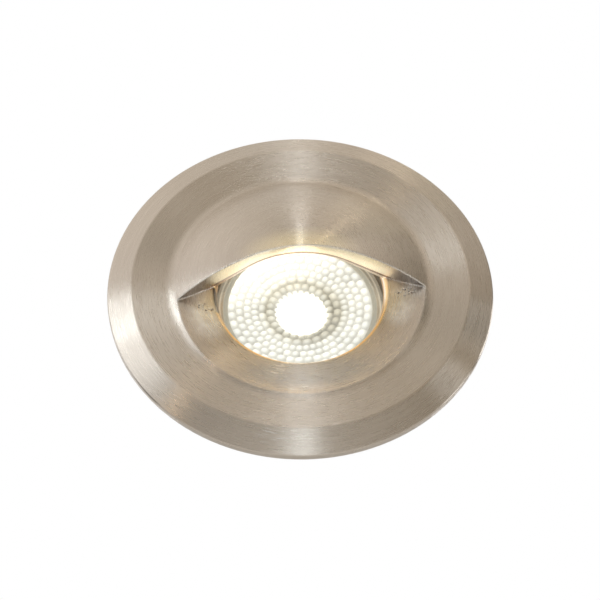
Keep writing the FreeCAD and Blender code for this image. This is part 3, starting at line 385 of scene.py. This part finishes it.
def makeFinish(name, look):
    material, tree, shader, place = startMaterial(name)
    stretched = vector1(tree, "MULTIPLY", place, look.get("stretch", (1.0, 1.0, 1.0)))
    grain = noise(tree, stretched, 1.0 / look["grain"], finishNoise["detail"], finishNoise["grit"])
    cloud = noise(tree, place, finishNoise["cloudScale"] / look["grain"], finishNoise["cloudDetail"])
    both = math1(tree, "MULTIPLY_ADD", grain, finishNoise["grainShare"],
                 times(tree, cloud, finishNoise["cloudShare"]))
    colour = mixColour(tree, ramp(tree, both, 0.0, 1.0, *noiseNarrow), *look["tones"])
    metal = look["metal"]
    if "bare" in look:  # walls that face the axis carry no paint
        facing = vector1(tree, "DOT_PRODUCT", aboutAxis(tree, place)[1], place.node.outputs["Normal"])
        metal = ramp(tree, facing, 1.0, 0.0, *look["bareFacing"])
        colour = mixColour(tree, metal, colour, look["bare"])
    grained = addNode(tree, "ShaderNodeBump", {"Height": grain, "Distance": look["depth"]}).outputs[0]
    feed(tree, shader, {"Base Color": colour, "Roughness": ramp(tree, cloud, *look["rough"], *noiseWide),
                        "Metallic": metal, "Normal": grained})
    return material


finishMaterials = {name: makeFinish(name, look) for name, look in finishes.items()}
for name, look in finishes.items():
    dress(finishMaterials[name], *look["wears"])
print("plain finishes:", len(finishMaterials))


# Lens, reflector and capsule
lensLook = dict(colour=(0.97, 0.98, 0.97), index=1.47, rough=(0.0, 0.02), smearScale=60.0, smearDetail=3.0,
                smearSpan=(0.5, 0.8))
reflectorLook = dict(tones=((0.34, 0.30, 0.25), (0.44, 0.40, 0.34)), rough=(0.10, 0.22), toneScale=300.0,
                     facet=2.4 * mm, facetDepth=0.3 * mm, facetStrength=0.3, metal=0.6, coat=0.8,
                     rimDepth=(2.0 * mm, 2.6 * mm), lineRadius=24.25 * mm, lineWidth=0.45 * mm,
                     rimGlow=0.24, lineGlow=0.28, backGlow=0.14, glowTint=(1.0, 0.88, 0.68))
capsuleLook = dict(colour=(1.0, 0.90, 0.74), strengths=(3.6, 6.0), shimmerScale=400.0, rough=0.2)


def makeLensGlass(look):
    material, tree, shader, place = startMaterial("lensGlass")
    smear = noise(tree, place, look["smearScale"], look["smearDetail"])
    feed(tree, shader, {"Base Color": opaque(look["colour"]), "Transmission Weight": 1.0,
                        "Roughness": ramp(tree, smear, *look["rough"], *look["smearSpan"]),
                        "IOR": look["index"]})
    return material


# The reflector's rim shows a soft glow with one brighter line, and its back a fainter glow
def makeReflectorGlass(look):
    material, tree, shader, place = startMaterial("reflectorGlass")
    cells = addNode(tree, "ShaderNodeTexVoronoi", {"Vector": place, "Scale": 1.0 / look["facet"]},
                    feature="F1").outputs["Distance"]
    tone = noise(tree, place, look["toneScale"])
    faceted = addNode(tree, "ShaderNodeBump", {"Height": cells, "Strength": look["facetStrength"],
                                               "Distance": look["facetDepth"]}).outputs[0]
    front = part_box("lamp_reflector")[0][1]
    depth = partsOf(tree, place)["Y"]
    radius = aboutAxis(tree, place)[0]
    offLine = math1(tree, "ABSOLUTE", math1(tree, "SUBTRACT", radius, look["lineRadius"]))
    glow = ramp(tree, offLine, look["rimGlow"] + look["lineGlow"], look["rimGlow"], 0.0, look["lineWidth"])
    onRim = ramp(tree, depth, 1.0, 0.0, front + look["rimDepth"][0], front + look["rimDepth"][1])
    glow = math1(tree, "MAXIMUM", times(tree, glow, onRim), look["backGlow"])
    colour = mixColour(tree, ramp(tree, tone, 0.0, 1.0, *noiseNarrow), *look["tones"])
    feed(tree, shader, {"Base Color": colour, "Roughness": ramp(tree, tone, *look["rough"], *noiseWide),
                        "Metallic": look["metal"], "Coat Weight": look["coat"], "Normal": faceted,
                        "Emission Strength": glow, "Emission Color": opaque(look["glowTint"])})
    return material


def makeCapsuleGlow(look):
    material, tree, shader, place = startMaterial("capsuleGlow")
    shimmer = noise(tree, place, look["shimmerScale"])
    feed(tree, shader, {"Base Color": opaque(look["colour"]), "Emission Color": opaque(look["colour"]),
                        "Emission Strength": ramp(tree, shimmer, *look["strengths"]),
                        "Roughness": look["rough"]})
    return material


dress(makeLensGlass(lensLook), "lens")
dress(makeReflectorGlass(reflectorLook), "lamp_reflector")
dress(makeCapsuleGlow(capsuleLook), "lamp_capsule")
print("lens, reflector and capsule dressed")


# Mesh from a grid of points: columns close on themselves where looped is true, rows where ringed is, and
# with poles the first and the last row each become one point. The second result tells which grid points
# were kept.
def gridMesh(name, points, looped=True, poles=False, ringed=False):
    rows, columns = points.shape[:2]
    index = np.arange(rows * columns).reshape(rows, columns)
    if ringed:
        index = np.concatenate([index, index[:1]])
    if poles:
        index[0], index[-1] = index[0, 0], index[-1, 0]
    there = np.roll(index, -1, axis=1)
    quads = np.stack([index[:-1], there[:-1], there[1:], index[1:]], axis=-1)
    if not looped:
        quads = quads[:, :-1]
    kept, corners = np.unique(quads, return_inverse=True)
    corners = corners.reshape(-1, 4)
    triangles = np.zeros((0, 3), dtype=int)
    if poles:
        triangles = np.concatenate([corners[:columns, [0, 2, 3]], corners[-columns:, [0, 1, 2]]])
        corners = corners[columns:-columns]
    loops = np.concatenate([triangles.reshape(-1), corners.reshape(-1)]).astype(np.int32)
    sizes = np.concatenate([np.full(len(triangles), 3), np.full(len(corners), 4)])
    mesh = bpy.data.meshes.new(name)
    mesh.vertices.add(len(kept))
    mesh.vertices.foreach_set("co", points.reshape(-1, 3)[kept].reshape(-1).astype(np.float32))
    mesh.loops.add(len(loops))
    mesh.loops.foreach_set("vertex_index", loops)
    mesh.polygons.add(len(sizes))
    mesh.polygons.foreach_set("loop_start", (np.cumsum(sizes) - sizes).astype(np.int32))
    mesh.update(calc_edges=True)
    return mesh, kept


def addPiece(name, mesh, material):
    mesh.materials.append(material)
    mesh.shade_smooth()
    piece = bpy.data.objects.new(name, mesh)
    scene.collection.objects.link(piece)
    return piece


# Beaded lamp front: rings of round beads on a shallow bowl, each with a bright spot, and a hot middle
beads = dict(
    outerRing=20.55 * mm, ringStep=2.3 * mm, rings=7, outerRings=4, outerCount=42, innerCount=24, seed=7,
    crown=0.7 * mm, fullness=0.85, fieldRadius=21.7 * mm, bowlDepth=2.3 * mm, floorDepth=0.75 * mm,
    thickness=0.9 * mm, edge=0.25 * mm, edgeGap=0.05 * mm, aroundSteps=756, acrossSteps=110, backSteps=8,
    spotWay=(-0.22, 0.22), spotSize=0.92, spotEdge=1.5, gapGlow=0.65, crownGlow=1.14, crownDusk=0.58,
    unevenness=0.2, hotRadius=6.9 * mm, hotShift=(0.4 * mm, -1.0 * mm), hotSoft=1.2 * mm, hotWave=0.45 * mm,
    hotGlow=7.5, flareWay=(-0.35, 0.94), flareReach=(0.2, 0.95), flareGlow=0.5,
    duskRadius=9.9 * mm, duskShift=0.7 * mm, duskWidth=1.8 * mm, duskSpread=0.5, duskAngle=-20.0,
    duskLeast=0.40, duskMost=0.58, gapWarmth=0.5, rimGlow=0.40, beadTint=(1.0, 1.0, 0.94),
    duskTint=(1.0, 0.94, 0.76), hotTint=(1.0, 0.93, 0.82), glassTone=(0.10, 0.095, 0.085), glassRough=0.12,
    glassIndex=1.5)


# At radius r and angle a the nearest ring is the one whose radius differs least from r. Its beads stand at
# even angles, half a bead further round in every second ring. Across and around are the distances from the
# bead's middle in half ring steps and half bead angles, and the bead's number picks its own brightness.
def nearestBead(look, radius, angle):
    ring = np.clip(np.round((look["outerRing"] - radius) / look["ringStep"]), 0, look["rings"] - 1)
    middle = look["outerRing"] - ring * look["ringStep"]
    count = np.where(ring < look["outerRings"], look["outerCount"], look["innerCount"])
    pitch = 2 * np.pi / count
    turned = np.mod(angle + np.mod(ring, 2) * pitch / 2, 2 * np.pi)
    around = np.mod(turned, pitch) / (pitch / 2) - 1
    across = (radius - middle) / (look["ringStep"] / 2)
    number = np.clip(np.floor(turned / pitch), 0, look["outerCount"] - 1)
    table = np.random.default_rng(look["seed"]).random((look["rings"], look["outerCount"]))
    return across + 0 * angle, around, table[(ring + 0 * number).astype(int), number.astype(int)]


def softStep(value, low, high):
    share = np.clip((value - low) / (high - low), 0, 1)
    return share * share * (3 - 2 * share)


# The front runs out from the axis up the bowl to the field's edge and on over the flat rim, turns over the
# edge and returns behind, one thickness deeper. The bowl's depth falls with the square of the radius. The
# results are each row's radius, its depth, and one where it belongs to the beaded field.
def bowlRows(look):
    low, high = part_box("lamp_cover_glass")
    front, back, rim = low[1], high[1], high[0] - look["edgeGap"]
    edge, field = look["edge"], look["fieldRadius"]
    across = np.linspace(0, field, look["acrossSteps"])
    behind = np.linspace(field, 0, look["backSteps"])
    bowl = [look["bowlDepth"] * (1 - (part / field) ** 2) + look["floorDepth"] for part in (across, behind)]
    turn = np.array([[field + edge, edge], [rim - edge, edge], [rim, 2 * edge], [rim, back - front - edge],
                     [rim - edge, back - front]])
    radius = np.concatenate([across, turn[:, 0], behind])[:, None]
    depth = np.concatenate([bowl[0], turn[:, 1], bowl[1] + look["thickness"]])[:, None]
    onField = np.concatenate([np.ones(len(across)), np.zeros(len(turn) + len(behind))])[:, None]
    return radius, front + depth, onField


def hotEdge(look):
    return look["hotRadius"] - look["hotSoft"], look["hotRadius"] + look["hotSoft"]


# Glow, dusk and heat of each point. A bead's spot falls off with the distance from a point beside its
# middle. The hot middle has a wavy edge, the dusk is a ring around it that is wider to the right, and the
# flare grows towards the top.
def beadLight(look, radius, angle, onField, bead):
    beadAcross, beadAround, own = bead
    x, z = radius * np.cos(angle), radius * np.sin(angle)
    spotAcross = look["spotWay"][0] * np.cos(angle) + look["spotWay"][1] * np.sin(angle)
    spotAround = look["spotWay"][1] * np.cos(angle) - look["spotWay"][0] * np.sin(angle)
    gapSquared = (beadAcross - spotAcross) ** 2 + (beadAround - spotAround) ** 2
    spot = np.exp(-(gapSquared / look["spotSize"] ** 2) ** look["spotEdge"])
    hotAway = np.hypot(x - look["hotShift"][0], z - look["hotShift"][1])
    hot = (1 - softStep(hotAway - look["hotWave"] * (spot - 0.5), *hotEdge(look))) * onField
    sideways = np.clip(np.cos(angle - math.radians(look["duskAngle"])), 0, 1) ** 2
    duskRadius = look["duskRadius"] + look["duskShift"] * sideways
    dusk = np.exp(-((radius - duskRadius) / (look["duskWidth"] * (1 + look["duskSpread"] * sideways))) ** 2)
    dusk = dusk * (look["duskLeast"] + (look["duskMost"] - look["duskLeast"]) * sideways) * (1 - hot)
    flare = softStep((x * look["flareWay"][0] + z * look["flareWay"][1]) / look["fieldRadius"],
                     *look["flareReach"])
    gap, crown = look["gapGlow"] * (1 - dusk), look["crownGlow"] * (1 - look["crownDusk"] * dusk)
    glow = gap + (crown - gap) * spot + look["unevenness"] * (own - 0.5) + look["flareGlow"] * flare
    glow = (glow * (1 - hot) + look["hotGlow"] * hot) * onField + look["rimGlow"] * (1 - onField)
    dusk = np.clip(dusk / look["duskMost"] + look["gapWarmth"] * (1 - spot), 0, 1) * onField + (1 - onField)
    return {"glow": glow, "dusk": dusk, "hot": hot}


# Each bead lifts the front by its crown times the root of one minus the fullness times the squared distance
# from the bead's middle. The hot middle stays smooth.
def makeBeadedFront(look):
    radius, depth, onField = bowlRows(look)
    angle = np.linspace(0, -2 * np.pi, look["aroundSteps"], endpoint=False)[None, :]
    bead = nearestBead(look, radius, angle)
    height = np.sqrt(np.clip(1 - look["fullness"] * (bead[0] ** 2 + bead[1] ** 2), 0, 1))
    y = depth - look["crown"] * height * onField * softStep(radius, *hotEdge(look))
    points = np.stack([radius * np.cos(angle), y, radius * np.sin(angle)], axis=-1)
    mesh, kept = gridMesh("beadedLampFront", points, poles=True)
    for name, value in beadLight(look, radius, angle, onField, bead).items():
        values = np.broadcast_to(value, y.shape).reshape(-1)[kept].astype(np.float32)
        mesh.attributes.new(name, "FLOAT", "POINT").data.foreach_set("value", values)
    return mesh


def makeBeadGlow(look):
    material, tree, shader, place = startMaterial("beadedGlow")
    glow, dusk, hot = (addNode(tree, "ShaderNodeAttribute", {}, attribute_name=name).outputs["Fac"]
                       for name in ("glow", "dusk", "hot"))
    tint = mixColour(tree, hot, mixColour(tree, dusk, look["beadTint"], look["duskTint"]), look["hotTint"])
    feed(tree, shader, {"Base Color": opaque(look["glassTone"]), "Roughness": look["glassRough"],
                        "IOR": look["glassIndex"], "Emission Color": tint, "Emission Strength": glow})
    return material


lampFront = addPiece("beadedLampFront", makeBeadedFront(beads), makeBeadGlow(beads))
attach(lampFront, "housing")
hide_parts("lamp_cover_glass")
print("beaded lamp front:", len(lampFront.data.polygons), "faces")


# Lens rim: the raised edge of the glass, which carries the lamp's light round to the upper and right side
lensRim = dict(inner=24.75 * mm, outer=25.85 * mm, rise=0.78 * mm, sink=0.02 * mm, fullness=5.0,
               profileSteps=32, aroundSteps=240, tones=((0.42, 0.38, 0.31), (0.52, 0.48, 0.41)),
               rough=(0.12, 0.25), cloudScale=500.0, cloudDetail=3.0, brightSpan=(-0.04, 0.20),
               glows=(0.11, 0.64), glowTints=((1.0, 0.62, 0.26), (1.0, 0.95, 0.84)), shadedGlow=0.25,
               lineRadius=(24.95 * mm, 25.05 * mm), lineGlow=0.34, lineTint=(1.0, 0.52, 0.18))


# A rounded box is carried round the axis: with t running round the profile, the radius and the depth are the
# box's middle plus its half sizes times the cosine and the sine of t, each raised to two over the fullness.
def makeLensRim(look):
    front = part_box("lens")[0][1]
    turn = np.linspace(0, 2 * np.pi, look["profileSteps"], endpoint=False)[:, None]
    angle = np.linspace(0, -2 * np.pi, look["aroundSteps"], endpoint=False)[None, :]
    across, along = (np.sign(part) * np.abs(part) ** (2 / look["fullness"])
                     for part in (np.cos(turn), np.sin(turn)))
    radius = (look["inner"] + look["outer"]) / 2 + across * (look["outer"] - look["inner"]) / 2
    depth = front + look["sink"] + (along - 1) * (look["rise"] + look["sink"]) / 2
    points = np.stack([radius * np.cos(angle), depth + 0 * angle, radius * np.sin(angle)], axis=-1)
    return gridMesh("lensRim", points, ringed=True)[0]


def makeRimGlass(look):
    material, tree, shader, place = startMaterial("rimGlass")
    cloud = noise(tree, place, look["cloudScale"], look["cloudDetail"])
    radius, direction = aboutAxis(tree, place)
    bright, shaded = openingLight(tree, place, direction, look["brightSpan"])
    inside = ramp(tree, radius, 1.0, 0.0, *look["lineRadius"])
    glow = ramp(tree, bright, *look["glows"], smooth=False)
    fall = times(tree, inside, math1(tree, "SUBTRACT", look["lineGlow"], glow))
    glow = times(tree, math1(tree, "ADD", glow, fall), ramp(tree, shaded, 1.0, look["shadedGlow"]))
    tint = mixColour(tree, inside, mixColour(tree, bright, *look["glowTints"]), look["lineTint"])
    feed(tree, shader, {"Base Color": mixColour(tree, cloud, *look["tones"]), "IOR": lensLook["index"],
                        "Roughness": ramp(tree, cloud, *look["rough"], *noiseWide),
                        "Emission Color": tint, "Emission Strength": glow})
    return material


rimPiece = addPiece("lensRim", makeLensRim(lensRim), makeRimGlass(lensRim))
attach(rimPiece, "face")
print("lens rim:", len(rimPiece.data.polygons), "faces")


# Torsion springs: a straight leg on the barrel, five turns about the pin, and a straight leg along the arm
springs = dict(pivot=(29.3 * mm, 26.0 * mm), coilRadius=2.1 * mm, wireRadius=0.42 * mm, coilHeight=6.6 * mm,
               turns=5, fixedAngle=45.0, armAngle=48.446, lean=5.2595, fixedLeg=6.45 * mm,
               movingLeg=9.6 * mm, coilSteps=240, legSteps=12, around=14)


# A round profile is carried along the wire: on the coil the angle and height grow evenly along the path, on
# the legs the path runs straight on from the coil's ends. Each profile point is the path point plus the wire
# radius times the cosine on the outward way and the sine on the way across both outward and along. Each end
# closes to a point.
def springTube(look, sign):
    first = math.radians(look["fixedAngle"])
    last = math.radians(90 - look["armAngle"] - look["lean"]) - 2 * math.pi * look["turns"]
    share = np.concatenate([np.zeros(look["legSteps"]), np.linspace(0, 1, look["coilSteps"]),
                            np.ones(look["legSteps"])])
    before = np.linspace(-look["fixedLeg"], 0, look["legSteps"], endpoint=False)
    after = np.linspace(look["movingLeg"], 0, look["legSteps"], endpoint=False)[::-1]
    straight = np.concatenate([before, np.zeros(look["coilSteps"]), after])
    angle = first + (last - first) * share
    outward = np.stack([np.cos(angle), np.sin(angle), 0 * angle], axis=-1)
    turn = look["coilRadius"] * (last - first)
    along = np.stack([-turn * np.sin(angle), turn * np.cos(angle), 0 * angle + look["coilHeight"]], axis=-1)
    along /= np.linalg.norm(along, axis=-1, keepdims=True)
    middle = np.array([*look["pivot"], 0.0]) + look["coilRadius"] * outward
    middle = middle + np.stack([0 * angle, 0 * angle, look["coilHeight"] * (share - 0.5)], axis=-1)
    middle = middle + along * straight[:, None]
    side = np.cross(along, outward)
    around = np.linspace(0, 2 * np.pi, look["around"], endpoint=False)[None, :, None]
    radius = np.full(len(angle), look["wireRadius"])
    radius = np.concatenate([[0], radius, [0]])[:, None, None]
    middle, outward, side = (np.concatenate([way[:1], way, way[-1:]]) for way in (middle, outward, side))
    tube = middle[:, None] + radius * (np.cos(around) * outward[:, None] + np.sin(around) * side[:, None])
    tube = tube * np.array([sign, 1.0, 1.0])
    return tube[:, ::-1] if sign > 0 else tube


for side, sign in (("left", -1), ("right", 1)):
    mesh = gridMesh(side + "SpringCoil", springTube(springs, sign), poles=True)[0]
    spring = addPiece(side + "SpringCoil", mesh, finishMaterials["springSteel"])
    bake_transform(spring)
    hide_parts(side + "_torsion_spring")
print("springs wound")


# Stage: pale floor well below, white behind, soft lamps and a grey card in front
floorLook = dict(height=-0.45, reach=6.0, steps=9, colour=(0.82, 0.81, 0.79), deepShare=0.96, rough=0.9,
                 paleness=0.12, cloudScale=3.0, cloudDetail=3.0)
cardLook = dict(distance=1.9, azimuth=(-112.0, 112.0), elevation=(-14.0, 88.0), steps=(33, 17),
                lowTones=(0.11, 0.22), highTones=(1.65, 0.03), lowest=-0.24,
                colours=((1.0, 0.98, 0.99), (1.0, 0.89, 0.66)))
skyLook = dict(colour=(1.0, 1.0, 1.0), fill=0.5)
lampDistance = 1.3
soft, thin, small = (0.5, 0.5), (0.02, 0.3), (0.06, 0.06)
lamps = {
    "leftFront": dict(azimuth=-40.0, elevation=12.0, size=soft, power=1.30, colour=(0.85, 0.93, 1.0)),
    "leftSide": dict(azimuth=-65.0, elevation=12.0, size=soft, power=0.92, colour=(0.80, 0.91, 1.0)),
    "leftUpper": dict(azimuth=-38.0, elevation=28.0, size=(0.25, 0.25), power=1.27, colour=(0.78, 0.9, 1.0)),
    "frontWarm": dict(azimuth=18.0, elevation=12.0, size=soft, power=0.15, colour=(1.0, 0.7, 0.4)),
    "rightFront": dict(azimuth=50.0, elevation=7.0, size=(0.3, 0.3), power=0.17, colour=(1.0, 0.9, 0.78)),
    "rightUpper": dict(azimuth=40.0, elevation=38.0, size=soft, power=0.48, colour=(1.0, 0.89, 0.80)),
    "rightHigh": dict(azimuth=35.0, elevation=64.0, size=soft, power=0.26, colour=(1.0, 0.85, 0.75)),
    "rightTop": dict(azimuth=80.0, elevation=64.0, size=soft, power=0.25, colour=(1.0, 0.95, 0.78)),
    "rightLow": dict(azimuth=70.0, elevation=-15.0, size=soft, power=2.3, colour=(0.92, 0.96, 1.0)),
    "rightGraze": dict(azimuth=95.0, elevation=12.0, size=soft, power=3.2, colour=(0.92, 0.96, 1.0)),
    "lowStrip": dict(azimuth=0.0, elevation=-12.0, size=(0.1, 0.4), power=0.32, colour=(0.75, 0.88, 1.0)),
    "lowThin": dict(azimuth=0.0, elevation=-12.0, size=thin, power=0.54, colour=(0.80, 0.90, 1.0)),
    "frontThin": dict(azimuth=2.0, elevation=20.0, size=thin, power=0.18, colour=(0.88, 0.94, 1.0)),
    "midThin": dict(azimuth=4.5, elevation=45.0, size=thin, power=0.045, colour=(0.95, 0.96, 1.0)),
    "highThin": dict(azimuth=7.0, elevation=60.0, size=thin, power=0.15, colour=(0.88, 0.94, 1.0)),
    "yellowHigh": dict(azimuth=28.0, elevation=53.0, size=small, power=0.074, colour=(1.0, 0.9, 0.71)),
    "yellowLow": dict(azimuth=-24.0, elevation=7.6, size=small, power=0.24, colour=(1.0, 0.8, 0.56)),
}


def makeFloor(look):
    span = np.linspace(-look["reach"], look["reach"], look["steps"])
    x, y = np.meshgrid(span, span, indexing="ij")
    material, tree, shader, place = startMaterial("paleFloor")
    cloud = noise(tree, place, look["cloudScale"], look["cloudDetail"])
    deep = tuple(look["deepShare"] * part for part in look["colour"])
    paleness = ramp(tree, shownRays(tree), 0.0, look["paleness"], smooth=False)
    feed(tree, shader, {"Base Color": mixColour(tree, cloud, deep, look["colour"]),
                        "Roughness": look["rough"], "Emission Color": opaque(look["colour"]),
                        "Emission Strength": paleness})
    points = np.stack([x, y, 0 * x + look["height"]], axis=-1)
    floor = addPiece("floor", gridMesh("floor", points, looped=False)[0], material)


# Grey card in front, part of a sphere: each point is the distance along the way of its azimuth and
# elevation. Its tone runs evenly from left to right and from low to high, and its colour from left to right.
def makeCard(look):
    azimuth = np.radians(np.linspace(*look["azimuth"], look["steps"][0]))[:, None]
    elevation = np.radians(np.linspace(*look["elevation"], look["steps"][1]))[None, :]
    way = np.stack([np.sin(azimuth) * np.cos(elevation), -np.cos(azimuth) * np.cos(elevation),
                    np.sin(elevation) + 0 * azimuth], axis=-1)
    material, tree, shader, place = startMaterial("greyCard")
    parts = partsOf(tree, place)
    far = look["distance"]
    rightward = ramp(tree, parts["X"], 0.0, 1.0, -far, far, smooth=False)
    low, high = (ramp(tree, parts["X"], *tones, -far, far, smooth=False)
                 for tones in (look["lowTones"], look["highTones"]))
    upward = ramp(tree, parts["Z"], 0.0, 1.0, look["lowest"] * far, far, smooth=False)
    rise = times(tree, math1(tree, "SUBTRACT", high, low), upward)
    feed(tree, shader, {"Base Color": (0.0, 0.0, 0.0, 1.0), "Specular IOR Level": 0.0,
                        "Emission Color": mixColour(tree, rightward, *look["colours"]),
                        "Emission Strength": math1(tree, "ADD", low, rise)})
    card = addPiece("greyCard", gridMesh("greyCard", way * far, looped=False)[0], material)
    card.visible_camera = False  # it only shades what the steel mirrors


def makeSky(look):
    world = bpy.data.worlds.new("studio")
    world.use_nodes = True
    scene.world = world
    tree = world.node_tree
    strength = ramp(tree, shownRays(tree), look["fill"], 1.0, smooth=False)
    feed(tree, tree.nodes["Background"], {"Color": opaque(look["colour"]), "Strength": strength})


def makeLamp(name, look):
    azimuth, elevation = math.radians(look["azimuth"]), math.radians(look["elevation"])
    way = Vector((math.sin(azimuth) * math.cos(elevation), -math.cos(azimuth) * math.cos(elevation),
                  math.sin(elevation)))
    data = bpy.data.lights.new(name, "AREA")
    data.shape = "RECTANGLE"
    data.size, data.size_y = look["size"]
    data.energy = look["power"]
    data.color = look["colour"]
    lamp = bpy.data.objects.new(name, data)
    facing = way.to_track_quat("Z", "Y").to_matrix().to_4x4()
    lamp.matrix_world = Matrix.Translation(way * lampDistance) @ facing
    scene.collection.objects.link(lamp)


makeFloor(floorLook)
makeCard(cardLook)
makeSky(skyLook)
for name, look in lamps.items():
    makeLamp(name, look)
print("stage and lamps:", len(lamps))
